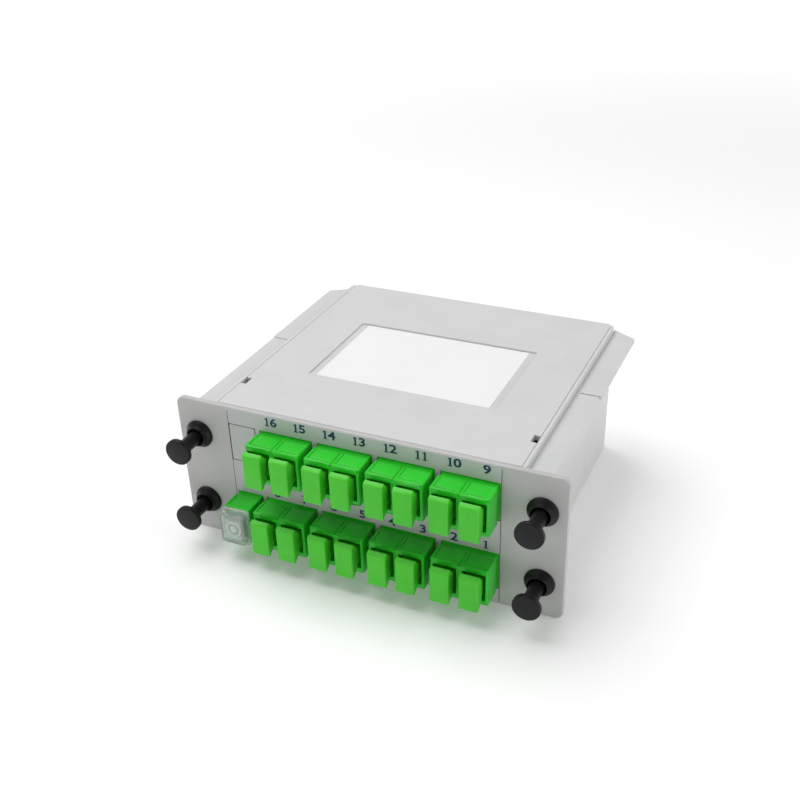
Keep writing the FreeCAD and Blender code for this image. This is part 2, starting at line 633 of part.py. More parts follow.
def plunger():
    """A plunger pulled out to its rest place: head, cone, flare and stem."""
    head_front = HEAD_BACK - HEAD_CONE - HEAD_THICKNESS
    stem_end = PANEL_FRONT + STEM_INSIDE
    rounding = []
    for i in range(HEAD_ROUND_STEPS + 1):
        angle = math.pi / 2 * i / HEAD_ROUND_STEPS
        rounding.append((HEAD_RADIUS - HEAD_ROUND * (1 - math.sin(angle)),
                         head_front + HEAD_ROUND * (1 - math.cos(angle))))
    return turned([
        (0, head_front),
        *rounding,
        (HEAD_RADIUS, HEAD_BACK - HEAD_CONE),
        (FLARE_RADIUS, HEAD_BACK),
        (STEM_RADIUS, HEAD_BACK + FLARE_LENGTH),
        (STEM_RADIUS, stem_end - STEM_TIP),
        (STEM_RADIUS - STEM_TIP / 2, stem_end),
        (0, stem_end),
    ])


def spool(x):
    """A round fibre guide with fingers that keep the turns down."""
    up = FreeCAD.Vector(0, 0, 1)
    base = FreeCAD.Vector(x, SPOOL_CENTRE, TRAY_TOP)
    ring = Part.makeCylinder(SPOOL_RADIUS, SPOOL_HEIGHT, base, up)
    fingers = []
    for i in range(FINGER_COUNT):
        reach = SPOOL_RADIUS + FINGER_REACH
        finger = Part.makeBox(reach, FINGER_WIDTH, FINGER_THICKNESS,
                              FreeCAD.Vector(x, SPOOL_CENTRE - FINGER_WIDTH / 2,
                                             TRAY_TOP + SPOOL_HEIGHT - FINGER_THICKNESS))
        finger.rotate(base, up, 360 * (i + 0.5) / FINGER_COUNT)
        fingers.append(finger)
    ring = ring.fuse(fingers)
    return ring.cut(Part.makeCylinder(SPOOL_RADIUS - SPOOL_WALL, SPOOL_HEIGHT + 1, base, up))


def fibre_tray():
    """The tray inside: a plate on four posts with two spools and the cradle of the module."""
    side = INNER_SIDE - TRAY_SIDE_GAP
    plate = slab(-side, side, TRAY_FRONT, TRAY_REAR, TRAY_TOP - TRAY_THICKNESS, TRAY_TOP)
    plate = plate.makeFillet(TRAY_CORNER, edges_along(plate, "z", lambda c: True))
    half = MODULE_WIDTH / 2 + CRADLE_GAP
    parts = [spool(-SPOOL_SPACING / 2), spool(SPOOL_SPACING / 2)]
    for x in (-CRADLE_SPACING / 2, CRADLE_SPACING / 2):
        for inner, outer in ((-half - CRADLE_WALL, -half), (half, half + CRADLE_WALL)):
            parts.append(slab(x - CRADLE_LENGTH / 2, x + CRADLE_LENGTH / 2, MODULE_CENTRE + inner,
                              MODULE_CENTRE + outer, TRAY_TOP, TRAY_TOP + CRADLE_HEIGHT))
    up = FreeCAD.Vector(0, 0, 1)
    holes = [Part.makeCylinder(POST_PIN_RADIUS + PIN_GAP, TRAY_THICKNESS + 2,
                               FreeCAD.Vector(x, y, TRAY_TOP - TRAY_THICKNESS - 1), up)
             for x, y in tray_posts()]
    return plate.fuse(parts).cut(holes).removeSplitter()


def splitter_module():
    """The splitter in its steel case, with a soft boot at each end."""
    half = MODULE_WIDTH / 2
    case = slab(-MODULE_LENGTH / 2, MODULE_LENGTH / 2, MODULE_CENTRE - half, MODULE_CENTRE + half,
                TRAY_TOP, TRAY_TOP + MODULE_HEIGHT)
    case = case.makeFillet(MODULE_CORNER, edges_along(case, "x", lambda c: True))
    middle = TRAY_TOP + MODULE_HEIGHT / 2
    reach = MODULE_LENGTH / 2 + MODULE_BOOT_LENGTH
    boots = slab(-reach, reach, MODULE_CENTRE - MODULE_BOOT_WIDTH / 2, MODULE_CENTRE + MODULE_BOOT_WIDTH / 2,
                 middle - MODULE_BOOT_HEIGHT / 2, middle + MODULE_BOOT_HEIGHT / 2)
    return case.fuse(boots)


def ports():
    """Number of each output port, counted from the right, with its centre on the panel."""
    places = {}
    for row, z in enumerate((LOWER_ROW, UPPER_ROW)):
        for i, x in enumerate(pair_centres()):
            first = row * 2 * PAIR_COUNT + 2 * i + 1
            places[first] = (x + PORT_WIDTH / 2, z)
            places[first + 1] = (x - PORT_WIDTH / 2, z)
    return places


def build():
    """Every piece under the name of its node."""
    nodes = {
        "front_panel": front_panel(),
        "panel_sheet": panel_sheet(),
        "blanking_plate": blanking_plate(),
        "housing": housing(),
        "top_cover": top_cover(),
        "cover_label": cover_label(),
        "fibre_tray": fibre_tray(),
        "splitter_module": splitter_module(),
    }
    pair_front, pair_rear = adapter_halves(2)
    single_front, single_rear = adapter_halves(1)
    rears = [moved(single_rear, INPUT_X, 0, LOWER_ROW)]
    cap = dust_cap()
    plug = inner_plug()
    sleeve = alignment_sleeve()
    places = ports()
    for first in range(1, 4 * PAIR_COUNT, 2):
        right, z = places[first]
        name = f"{first:02d}_{first + 1:02d}"
        nodes["adapter_front_" + name] = moved(pair_front, right - PORT_WIDTH / 2, 0, z)
        rears.append(moved(pair_rear, right - PORT_WIDTH / 2, 0, z))
        both = [places[first], places[first + 1]]
        nodes["inner_plugs_" + name] = Part.makeCompound([moved(plug, x, 0, z) for x, z in both])
    for number, (x, z) in places.items():
        nodes[f"dust_cap_{number:02d}"] = moved(cap, x, 0, z)
    nodes["adapter_front_input"] = moved(single_front, INPUT_X, 0, LOWER_ROW)
    nodes["adapter_rears"] = Part.makeCompound(rears)
    nodes["inner_plug_input"] = moved(plug, INPUT_X, 0, LOWER_ROW)
    nodes["input_cap"] = moved(clear_cap(), INPUT_X, 0, LOWER_ROW)
    sleeve_places = list(places.values()) + [(INPUT_X, LOWER_ROW)]
    nodes["alignment_sleeves"] = Part.makeCompound([moved(sleeve, x, 0, z) for x, z in sleeve_places])
    nodes["latch_inserts"] = Part.makeCompound([i for x, z in sleeve_places for i in latch_inserts(x, z)])
    for name, (x, z) in plunger_places().items():
        nodes["plunger_" + name] = moved(plunger(), x, 0, z)
        nodes["plunger_sleeve_" + name] = moved(plunger_sleeve(), x, 0, z)
    return nodes


os.makedirs("parts", exist_ok=True)
for node, shape in build().items():
    if not shape.isValid():
        raise RuntimeError(node + " is not a valid solid")
    shape.exportStep(os.path.join("parts", node + ".step"))
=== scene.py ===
import bpy
import json
import math
from mathutils import Matrix, Vector

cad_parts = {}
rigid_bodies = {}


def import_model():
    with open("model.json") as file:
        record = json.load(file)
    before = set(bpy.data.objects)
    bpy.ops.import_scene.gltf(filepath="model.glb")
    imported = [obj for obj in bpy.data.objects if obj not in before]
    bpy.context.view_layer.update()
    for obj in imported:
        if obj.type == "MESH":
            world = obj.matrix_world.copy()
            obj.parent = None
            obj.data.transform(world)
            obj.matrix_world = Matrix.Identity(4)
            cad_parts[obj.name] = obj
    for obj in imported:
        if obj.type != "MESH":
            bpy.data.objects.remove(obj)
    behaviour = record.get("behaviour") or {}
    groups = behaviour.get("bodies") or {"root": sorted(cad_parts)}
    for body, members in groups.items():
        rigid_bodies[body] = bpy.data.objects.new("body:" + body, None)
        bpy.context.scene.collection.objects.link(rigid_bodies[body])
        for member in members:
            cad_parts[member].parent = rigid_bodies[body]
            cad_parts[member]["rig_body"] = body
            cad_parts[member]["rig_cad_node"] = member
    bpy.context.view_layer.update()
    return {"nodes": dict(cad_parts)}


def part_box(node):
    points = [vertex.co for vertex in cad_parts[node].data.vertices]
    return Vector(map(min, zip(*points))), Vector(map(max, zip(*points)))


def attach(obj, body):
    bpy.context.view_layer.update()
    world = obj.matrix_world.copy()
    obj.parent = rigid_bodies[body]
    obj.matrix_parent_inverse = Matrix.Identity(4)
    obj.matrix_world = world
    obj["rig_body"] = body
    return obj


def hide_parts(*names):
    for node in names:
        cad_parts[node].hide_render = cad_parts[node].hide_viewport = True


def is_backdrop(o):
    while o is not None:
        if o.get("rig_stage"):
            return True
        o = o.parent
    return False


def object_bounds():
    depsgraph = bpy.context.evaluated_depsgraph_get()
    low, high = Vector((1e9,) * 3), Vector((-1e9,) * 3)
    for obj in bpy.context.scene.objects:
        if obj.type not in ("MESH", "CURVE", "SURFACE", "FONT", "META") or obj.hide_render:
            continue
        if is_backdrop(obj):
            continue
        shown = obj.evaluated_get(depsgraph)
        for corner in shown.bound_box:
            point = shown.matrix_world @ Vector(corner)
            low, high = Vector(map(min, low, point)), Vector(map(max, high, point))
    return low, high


MM = 0.001

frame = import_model()
bpy.ops.object.select_all(action="DESELECT")


def only(piece):
    """Selects one piece and nothing else."""
    bpy.ops.object.select_all(action="DESELECT")
    piece.select_set(True)
    bpy.context.view_layer.objects.active = piece


def settle(piece):
    """Puts a piece's place into its mesh, so that its object sits at the origin."""
    only(piece)
    bpy.ops.object.transform_apply(location=True, rotation=True, scale=True)
    return piece


def join(pieces, name):
    """Makes one piece of several."""
    bpy.ops.object.select_all(action="DESELECT")
    for piece in pieces:
        piece.select_set(True)
    bpy.context.view_layer.objects.active = pieces[0]
    if len(pieces) > 1:
        bpy.ops.object.join()
    pieces[0].name = name
    pieces[0].data.name = name
    return pieces[0]


def coat(mesh, material):
    """Gives a mesh one material and no other."""
    mesh.materials.clear()
    mesh.materials.append(material)


def new_material(name):
    """A material with its nodes, their links and its shader."""
    made = bpy.data.materials.new(name)
    made.use_nodes = True
    nodes = made.node_tree.nodes
    return made, nodes, made.node_tree.links, nodes["Principled BSDF"]


# Finishes: the groups that more than one material uses

def effect(name, inputs, outputs):
    """An empty shader node group with named sockets."""
    tree = bpy.data.node_groups.new(name, "ShaderNodeTree")
    for label, kind, value in inputs:
        socket = tree.interface.new_socket(name=label, in_out="INPUT", socket_type=kind)
        socket.default_value = value
    for label, kind in outputs:
        tree.interface.new_socket(name=label, in_out="OUTPUT", socket_type=kind)
    return tree, tree.nodes.new("NodeGroupInput"), tree.nodes.new("NodeGroupOutput")


def moulded_skin():
    """Spark-eroded mould texture: fine grain, soft clouding of the colour and uneven gloss."""
    tree, given, result = effect(
        "moulded_skin",
        [
            ("Colour", "NodeSocketColor", (0.6, 0.6, 0.6, 1)),
            ("Cloud Colour", "NodeSocketColor", (0.55, 0.55, 0.55, 1)),
            ("Cloud Size", "NodeSocketFloat", 60.0),
            ("Grain Size", "NodeSocketFloat", 4000.0),
            ("Gloss Low", "NodeSocketFloat", 0.4),
            ("Gloss High", "NodeSocketFloat", 0.5),
        ],
        [("Colour", "NodeSocketColor"), ("Roughness", "NodeSocketFloat"), ("Height", "NodeSocketFloat")],
    )
    nodes, links = tree.nodes, tree.links
    place = nodes.new("ShaderNodeTexCoord")
    cloud = nodes.new("ShaderNodeTexNoise")
    cloud.inputs["Detail"].default_value = 4
    cloud.inputs["Roughness"].default_value = 0.55
    links.new(place.outputs["Object"], cloud.inputs["Vector"])
    links.new(given.outputs["Cloud Size"], cloud.inputs["Scale"])
    ramp = nodes.new("ShaderNodeMapRange")
    ramp.inputs["From Min"].default_value = 0.35
    ramp.inputs["From Max"].default_value = 0.65
    links.new(cloud.outputs["Fac"], ramp.inputs["Value"])
    tint = nodes.new("ShaderNodeMix")
    tint.data_type = "RGBA"
    links.new(ramp.outputs["Result"], tint.inputs["Factor"])
    links.new(given.outputs["Colour"], tint.inputs["A"])
    links.new(given.outputs["Cloud Colour"], tint.inputs["B"])
    links.new(tint.outputs["Result"], result.inputs["Colour"])
    grain = nodes.new("ShaderNodeTexNoise")
    grain.inputs["Detail"].default_value = 2
    links.new(place.outputs["Object"], grain.inputs["Vector"])
    links.new(given.outputs["Grain Size"], grain.inputs["Scale"])
    links.new(grain.outputs["Fac"], result.inputs["Height"])
    gloss = nodes.new("ShaderNodeMapRange")
    links.new(cloud.outputs["Fac"], gloss.inputs["Value"])
    links.new(given.outputs["Gloss Low"], gloss.inputs["To Min"])
    links.new(given.outputs["Gloss High"], gloss.inputs["To Max"])
    links.new(gloss.outputs["Result"], result.inputs["Roughness"])
    return tree


def rubbed_edges():
    """Painted highlights: edges made lighter in colour, standing for the light that rounded edges catch,
    and the rounded normal that goes with them.
    """
    tree, given, result = effect(
        "rubbed_edges",
        [
            ("Colour", "NodeSocketColor", (0.6, 0.6, 0.6, 1)),
            ("Edge Colour", "NodeSocketColor", (0.8, 0.8, 0.8, 1)),
            ("Amount", "NodeSocketFloat", 0.5),
            ("Width", "NodeSocketFloat", 0.0003),
        ],
        [("Colour", "NodeSocketColor"), ("Normal", "NodeSocketVector")],
    )
    nodes, links = tree.nodes, tree.links
    rounded = nodes.new("ShaderNodeBevel")
    rounded.samples = 4
    links.new(given.outputs["Width"], rounded.inputs["Radius"])
    surface = nodes.new("ShaderNodeNewGeometry")
    agree = nodes.new("ShaderNodeVectorMath")
    agree.operation = "DOT_PRODUCT"
    links.new(rounded.outputs["Normal"], agree.inputs[0])
    links.new(surface.outputs["Normal"], agree.inputs[1])
    edge = nodes.new("ShaderNodeMapRange")
    edge.inputs["From Min"].default_value = 0.999
    edge.inputs["From Max"].default_value = 0.9
    links.new(agree.outputs["Value"], edge.inputs["Value"])
    share = nodes.new("ShaderNodeMath")
    share.operation = "MULTIPLY"
    links.new(edge.outputs["Result"], share.inputs[0])
    links.new(given.outputs["Amount"], share.inputs[1])
    # Painted highlight: the lighter edge colour is mixed in along the edges
    tint = nodes.new("ShaderNodeMix")
    tint.data_type = "RGBA"
    links.new(share.outputs["Value"], tint.inputs["Factor"])
    links.new(given.outputs["Colour"], tint.inputs["A"])
    links.new(given.outputs["Edge Colour"], tint.inputs["B"])
    links.new(tint.outputs["Result"], result.inputs["Colour"])
    links.new(rounded.outputs["Normal"], result.inputs["Normal"])
    return tree


SKIN = moulded_skin()
EDGES = rubbed_edges()


CLOUD_SIZE = 60.0
# How strongly and how wide the edges get their painted highlight
EDGE_HIGHLIGHT_AMOUNT = 0.35
EDGE_HIGHLIGHT_WIDTH = 0.00025
BUMP = 0.6


def plastic(name, colour, cloud, edge, gloss, grain=4000.0, depth=0.00001, shine=0.5):
    """A moulded plastic with the skin of its mould and painted highlights on its edges."""
    made, nodes, links, shader = new_material(name)
    shader.inputs["Specular IOR Level"].default_value = shine
    skin = nodes.new("ShaderNodeGroup")
    skin.node_tree = SKIN
    skin.inputs["Colour"].default_value = (*colour, 1)
    skin.inputs["Cloud Colour"].default_value = (*cloud, 1)
    skin.inputs["Cloud Size"].default_value = CLOUD_SIZE
    skin.inputs["Grain Size"].default_value = grain
    skin.inputs["Gloss Low"].default_value = gloss[0]
    skin.inputs["Gloss High"].default_value = gloss[1]
    edges = nodes.new("ShaderNodeGroup")
    edges.node_tree = EDGES
    edges.inputs["Edge Colour"].default_value = (*edge, 1)
    edges.inputs["Amount"].default_value = EDGE_HIGHLIGHT_AMOUNT
    edges.inputs["Width"].default_value = EDGE_HIGHLIGHT_WIDTH
    links.new(skin.outputs["Colour"], edges.inputs["Colour"])
    links.new(edges.outputs["Colour"], shader.inputs["Base Color"])
    links.new(skin.outputs["Roughness"], shader.inputs["Roughness"])
    bump = nodes.new("ShaderNodeBump")
    bump.inputs["Distance"].default_value = depth
    bump.inputs["Strength"].default_value = BUMP
    links.new(skin.outputs["Height"], bump.inputs["Height"])
    links.new(edges.outputs["Normal"], bump.inputs["Normal"])
    links.new(bump.outputs["Normal"], shader.inputs["Normal"])
    return made


def dress(nodes, material):
    """Gives CAD nodes a material."""
    for name in nodes:
        coat(frame["nodes"][name].data, material)


EVERY_NODE = list(frame["nodes"])

# Colour, colour of the clouds in it, colour of the painted edge highlights, and the range of roughness
housing_grey = plastic("housing_grey_abs", (0.62, 0.625, 0.62), (0.59, 0.595, 0.595),
                       (0.80, 0.80, 0.79), (0.42, 0.54))
# Painted shade: the front panel is the same grey ABS as the housing, made darker because its front face
# is turned from the light
panel_grey_shaded = plastic("panel_grey_abs_painted_shade", (0.50, 0.50, 0.49), (0.47, 0.47, 0.465),
                     (0.70, 0.70, 0.69), (0.40, 0.52))
sheet_grey = plastic("printed_sheet_grey", (0.50, 0.505, 0.51), (0.48, 0.485, 0.49),
                     (0.57, 0.58, 0.59), (0.34, 0.42), grain=7000.0, depth=0.000004)
label_white = plastic("label_white_film", (0.86, 0.86, 0.87), (0.84, 0.84, 0.85),
                      (0.92, 0.92, 0.92), (0.30, 0.40), grain=9000.0, depth=0.000003)
adapter_green = plastic("adapter_bright_green", (0.026, 0.58, 0.024), (0.020, 0.52, 0.020),
                        (0.12, 0.78, 0.11), (0.26, 0.36), grain=5000.0, depth=0.000006, shine=0.32)
cap_green = plastic("cap_light_green", (0.068, 0.575, 0.026), (0.056, 0.53, 0.022),
                    (0.16, 0.74, 0.08), (0.36, 0.48), grain=5000.0, depth=0.000008, shine=0.34)
plunger_black = plastic("plunger_black_nylon", (0.0045, 0.0045, 0.005), (0.008, 0.008, 0.009),
                        (0.03, 0.03, 0.032), (0.30, 0.44), grain=3000.0, depth=0.00002, shine=0.24)
plug_green = plastic("plug_green", (0.03, 0.42, 0.09), (0.025, 0.37, 0.08),
                     (0.12, 0.6, 0.15), (0.30, 0.42))
tray_grey = plastic("tray_grey_abs", (0.66, 0.66, 0.65), (0.62, 0.62, 0.61),
                    (0.8, 0.8, 0.79), (0.45, 0.55))
ceramic = plastic("sleeve_zirconia", (0.90, 0.90, 0.86), (0.86, 0.86, 0.82),
                  (0.95, 0.95, 0.93), (0.12, 0.2), depth=0.000001)
insert_white = plastic("insert_white", (0.80, 0.80, 0.78), (0.76, 0.76, 0.74),
                       (0.86, 0.86, 0.85), (0.35, 0.45))
number_ink = plastic("number_ink_navy", (0.008, 0.020, 0.085), (0.012, 0.028, 0.10),
                     (0.03, 0.06, 0.16), (0.38, 0.5), depth=0.000002)
# Painted shade: the dark colour of the lines that stand for the shade at the sheet's edges and in the
# gap round the blank
sheet_edge_shade = plastic("painted_sheet_edge_shade", (0.05, 0.052, 0.058), (0.07, 0.072, 0.078),
                   (0.1, 0.1, 0.1), (0.4, 0.5), depth=0.000002)
frosted_white = plastic("cap_frosted_mark", (0.86, 0.92, 0.88), (0.80, 0.87, 0.82),
                        (0.95, 0.97, 0.95), (0.3, 0.45))


def brushed_case():
    """The steel case of the splitter, brushed along its length."""
    made, nodes, links, shader = new_material("splitter_brushed_steel")
    shader.inputs["Metallic"].default_value = 1.0
    shader.inputs["Base Color"].default_value = (0.60, 0.60, 0.61, 1)
    place = nodes.new("ShaderNodeTexCoord")
    stretch = nodes.new("ShaderNodeMapping")
    stretch.inputs["Scale"].default_value = (60, 6000, 6000)
    strokes = nodes.new("ShaderNodeTexNoise")
    strokes.inputs["Scale"].default_value = 1.0
    links.new(place.outputs["Object"], stretch.inputs["Vector"])
    links.new(stretch.outputs["Vector"], strokes.inputs["Vector"])
    rough = nodes.new("ShaderNodeMapRange")
    rough.inputs["To Min"].default_value = 0.22
    rough.inputs["To Max"].default_value = 0.42
    links.new(strokes.outputs["Fac"], rough.inputs["Value"])
    links.new(rough.outputs["Result"], shader.inputs["Roughness"])
    return made


def clear_plastic():
    """The clear cap: slightly green, a little cloudy and faintly scuffed."""
    made, nodes, links, shader = new_material("cap_clear_plastic")
    shader.inputs["Transmission Weight"].default_value = 0.76
    shader.inputs["IOR"].default_value = 1.46
    skin = nodes.new("ShaderNodeGroup")
    skin.node_tree = SKIN
    skin.inputs["Colour"].default_value = (0.90, 0.97, 0.92, 1)
    skin.inputs["Cloud Colour"].default_value = (0.82, 0.90, 0.85, 1)
    skin.inputs["Cloud Size"].default_value = 220.0
    skin.inputs["Grain Size"].default_value = 1500.0
    skin.inputs["Gloss Low"].default_value = 0.03
    skin.inputs["Gloss High"].default_value = 0.14
    bump = nodes.new("ShaderNodeBump")
    bump.inputs["Distance"].default_value = 0.00001
    bump.inputs["Strength"].default_value = 0.3
    links.new(skin.outputs["Colour"], shader.inputs["Base Color"])
    links.new(skin.outputs["Roughness"], shader.inputs["Roughness"])
    links.new(skin.outputs["Height"], bump.inputs["Height"])
    links.new(bump.outputs["Normal"], shader.inputs["Normal"])
    return made


dress(["housing", "top_cover"], housing_grey)
dress(["front_panel"], panel_grey_shaded)
dress(["panel_sheet", "blanking_plate"], sheet_grey)
dress(["cover_label"], label_white)
dress([n for n in EVERY_NODE if n.startswith("adapter_")], adapter_green)
dress([n for n in EVERY_NODE if n.startswith("dust_cap_")], cap_green)
dress([n for n in EVERY_NODE if n.startswith("plunger_")], plunger_black)
dress([n for n in EVERY_NODE if n.startswith("inner_plug")], plug_green)
dress(["fibre_tray"], tray_grey)
dress(["splitter_module"], brushed_case())
dress(["alignment_sleeves"], ceramic)
dress(["latch_inserts"], insert_white)
dress(["input_cap"], clear_plastic())


# Mouldings with rounded edges, modelled over the plain solids

WELD = 0.002 * MM
SLIVER = 0.001 * MM
FLAT_ANGLE = 1
CAP_ROUND = 0.28 * MM
PLUNGER_ROUND = 0.12 * MM
SLEEVE_ROUND = 0.14 * MM
ADAPTER_ROUND = 0.12 * MM


def sharp_edges(turn):
    """Selects the edges of the piece in edit mode whose faces meet at more than a given angle."""
    bpy.ops.mesh.select_all(action="DESELECT")
    bpy.ops.mesh.select_mode(type="EDGE")
    bpy.ops.mesh.edges_select_sharp(sharpness=math.radians(turn))


def moulding(node, radius, steps=2, turn=35, plain=True):
    """A moulding that stands for a CAD node, with its edges rounded.

    A plain one gets clean flat faces first and loses its slivers last. The edges that are rounded are
    those whose faces meet at more than the turn, in degrees.
    """
    source = frame["nodes"][node]
    piece = source.copy()
    piece.data = source.data.copy()
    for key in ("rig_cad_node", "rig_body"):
        if key in piece:
            del piece[key]
    piece.parent = None
    piece.name = node + "_moulded"
    piece.data.name = piece.name
    bpy.context.scene.collection.objects.link(piece)
    only(piece)
    bpy.ops.object.mode_set(mode="EDIT")
    bpy.ops.mesh.select_all(action="SELECT")
    bpy.ops.mesh.remove_doubles(threshold=WELD)
    if plain:
        bpy.ops.mesh.dissolve_limited(angle_limit=math.radians(FLAT_ANGLE))
    bpy.ops.mesh.normals_make_consistent(inside=False)
    sharp_edges(turn)
    bpy.ops.mesh.bevel(offset=radius, segments=steps, profile=0.5, clamp_overlap=plain)
    if plain:
        bpy.ops.mesh.select_all(action="SELECT")
        bpy.ops.mesh.dissolve_degenerate(threshold=SLIVER)
    bpy.ops.object.mode_set(mode="OBJECT")
    bpy.ops.object.shade_smooth_by_angle(angle=math.radians(turn))
    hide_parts(node)
    return piece


def ride_as(piece, node):
    """Lets a piece move with the body of the CAD node that it stands for."""
    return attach(piece, frame["nodes"][node]["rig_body"])


def rounded_mouldings():
    """Rounds the visible mouldings that the light catches most."""
    for node in EVERY_NODE:
        if node.startswith("dust_cap_"):
            ride_as(moulding(node, CAP_ROUND, steps=3), node)
        elif node.startswith("plunger_") and "sleeve" not in node:
            ride_as(moulding(node, PLUNGER_ROUND, turn=50), node)
        elif node.startswith("plunger_sleeve_"):
            ride_as(moulding(node, SLEEVE_ROUND, steps=3, turn=40, plain=False), node)
        elif node.startswith("adapter_front_"):
            ride_as(moulding(node, ADAPTER_ROUND, plain=False), node)


rounded_mouldings()


# The frosted marks inside the clear cap

RING_RADIUS = 2.8 * MM
RING_BORE = 2.2 * MM
DISC_RADIUS = 1.25 * MM
MARK_DEPTH = 0.35 * MM
MARK_ROUND = 0.1 * MM
MARK_SIDES = 48
FRONT_WALL = 0.78 * MM


def frosted_disc(radius, y, x, z):
    """A shallow disc that faces the front, with a rounded rim."""
    bpy.ops.mesh.primitive_cylinder_add(vertices=MARK_SIDES, radius=radius, depth=MARK_DEPTH,
                                        location=(x, y, z), rotation=(math.pi / 2, 0, 0))
    piece = settle(bpy.context.object)
    bpy.ops.object.mode_set(mode="EDIT")
    sharp_edges(60)
    bpy.ops.mesh.bevel(offset=MARK_ROUND, segments=2)
    bpy.ops.object.mode_set(mode="OBJECT")
    return piece


def cap_marks():
    """The root of the tube and the gate mark, which show through the clear cap's front."""
    low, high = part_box("input_cap")
    adapter_low, adapter_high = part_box("adapter_front_input")
    x = (adapter_low.x + adapter_high.x) / 2
    z = (adapter_low.z + adapter_high.z) / 2
    y = low.y + FRONT_WALL + MARK_DEPTH / 2
    disc = frosted_disc(DISC_RADIUS, y, x, z)
    ring = frosted_disc(RING_RADIUS, y, x, z)
    only(ring)
    bpy.ops.object.mode_set(mode="EDIT")
    bpy.ops.mesh.select_mode(type="FACE")
    bpy.ops.mesh.select_all(action="DESELECT")
    bpy.ops.mesh.select_face_by_sides(number=MARK_SIDES)
    bpy.ops.mesh.inset(thickness=RING_RADIUS - RING_BORE - MARK_ROUND, depth=0)
    bpy.ops.mesh.bridge_edge_loops()
    bpy.ops.object.mode_set(mode="OBJECT")
    marks = join([disc, ring], "cap_marks")
    coat(marks.data, frosted_white)
    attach(marks, frame["nodes"]["input_cap"]["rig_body"])
    return marks


cap_marks()


# The printed numbers of the panel, and the lines of painted shade at the sheet's ends and around its
# blank

SHEET_LOW, SHEET_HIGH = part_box("panel_sheet")
PRINT_AND_SHADE_DEPTH = 0.03 * MM
DIGIT_HEIGHT = 2.9 * MM
DIGIT_STRETCH = 1.25
DIGIT_STEP = 2.25 * MM
DIGIT_WEIGHT = 0.11 * MM
TEXT_TO_DIGIT = 1.38
STEM = 0.62 * MM
STROKE = 0.28 * MM
FOOT = 1.5 * MM
FLAG = 0.8 * MM
FLAG_ASIDE = 0.42 * MM
FLAG_BELOW = 0.36 * MM
FLAG_TILT = -0.6
PORTS_IN_ROW = 8
UPPER_NUMBERS = 22.7 * MM
LOWER_NUMBERS = -3.7 * MM
LINE_WIDTH = 0.16 * MM
LINE_INSET = 0.12 * MM
LINE_END_GAP = 0.8 * MM
BLANK_WIDTH = 9.2 * MM
BLANK_HEIGHT = 13.0 * MM


def ink_bar(x, z, width, height, tilt=0.0):
    """A bar on the sheet's face, turned by the given angle: printed ink in the figure 1, painted shade
    in the panel's lines.
    """
    bpy.ops.mesh.primitive_cube_add(size=1, location=(x, SHEET_LOW.y, z), rotation=(0, tilt, 0))
    piece = bpy.context.object
    piece.scale = (width, 2 * PRINT_AND_SHADE_DEPTH, height)
    return settle(piece)


def printed_one(x, z):
    """The figure 1 with its flag and foot."""
    half = DIGIT_HEIGHT / 2
    return [
        ink_bar(x, z, STEM, DIGIT_HEIGHT),
        ink_bar(x, z - half + STROKE / 2, FOOT, STROKE),
        ink_bar(x - FLAG_ASIDE, z + half - FLAG_BELOW, FLAG, STROKE, FLAG_TILT),
    ]


def printed_digit(character, x, z):
    """One printed figure, standing on the sheet's face."""
    if character == "1":
        return printed_one(x, z)
    bpy.ops.object.text_add(location=(x, SHEET_LOW.y, z), rotation=(math.pi / 2, 0, 0))
    text = bpy.context.object.data
    text.body = character
    text.align_x = "CENTER"
    text.align_y = "CENTER"
    text.size = DIGIT_HEIGHT * TEXT_TO_DIGIT
    text.offset = DIGIT_WEIGHT
    text.extrude = PRINT_AND_SHADE_DEPTH
    text.resolution_u = 4
    only(bpy.context.object)
    bpy.ops.object.convert(target="MESH")
    bpy.context.object.scale.x = DIGIT_STRETCH
    return [settle(bpy.context.object)]


def port_number(number, x, z):
    """A printed number, one figure beside the other."""
    characters = str(number)
    first = x - (len(characters) - 1) * DIGIT_STEP / 2
    pieces = []
    for place, character in enumerate(characters):
        pieces += printed_digit(character, first + place * DIGIT_STEP, z)
    return pieces


def cap_middle(number):
    """The place along the panel of a port's cap."""
    low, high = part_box(f"dust_cap_{number:02d}")
    return (low.x + high.x) / 2


def panel_numbers():
    """All the port numbers, evenly spaced over the two rows of adapters."""
    centre = (cap_middle(1) + cap_middle(PORTS_IN_ROW)) / 2
    pitch = (cap_middle(1) - cap_middle(7)) / 6
    pieces = []
    for number in range(1, 2 * PORTS_IN_ROW + 1):
        steps = (PORTS_IN_ROW - 1) / 2 - (number - 1) % PORTS_IN_ROW
        height = UPPER_NUMBERS if number > PORTS_IN_ROW else LOWER_NUMBERS
        pieces += port_number(number, centre + steps * pitch, height)
    piece = join(pieces, "port_numbers")
    coat(piece.data, number_ink)
    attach(piece, "cassette")
    return piece


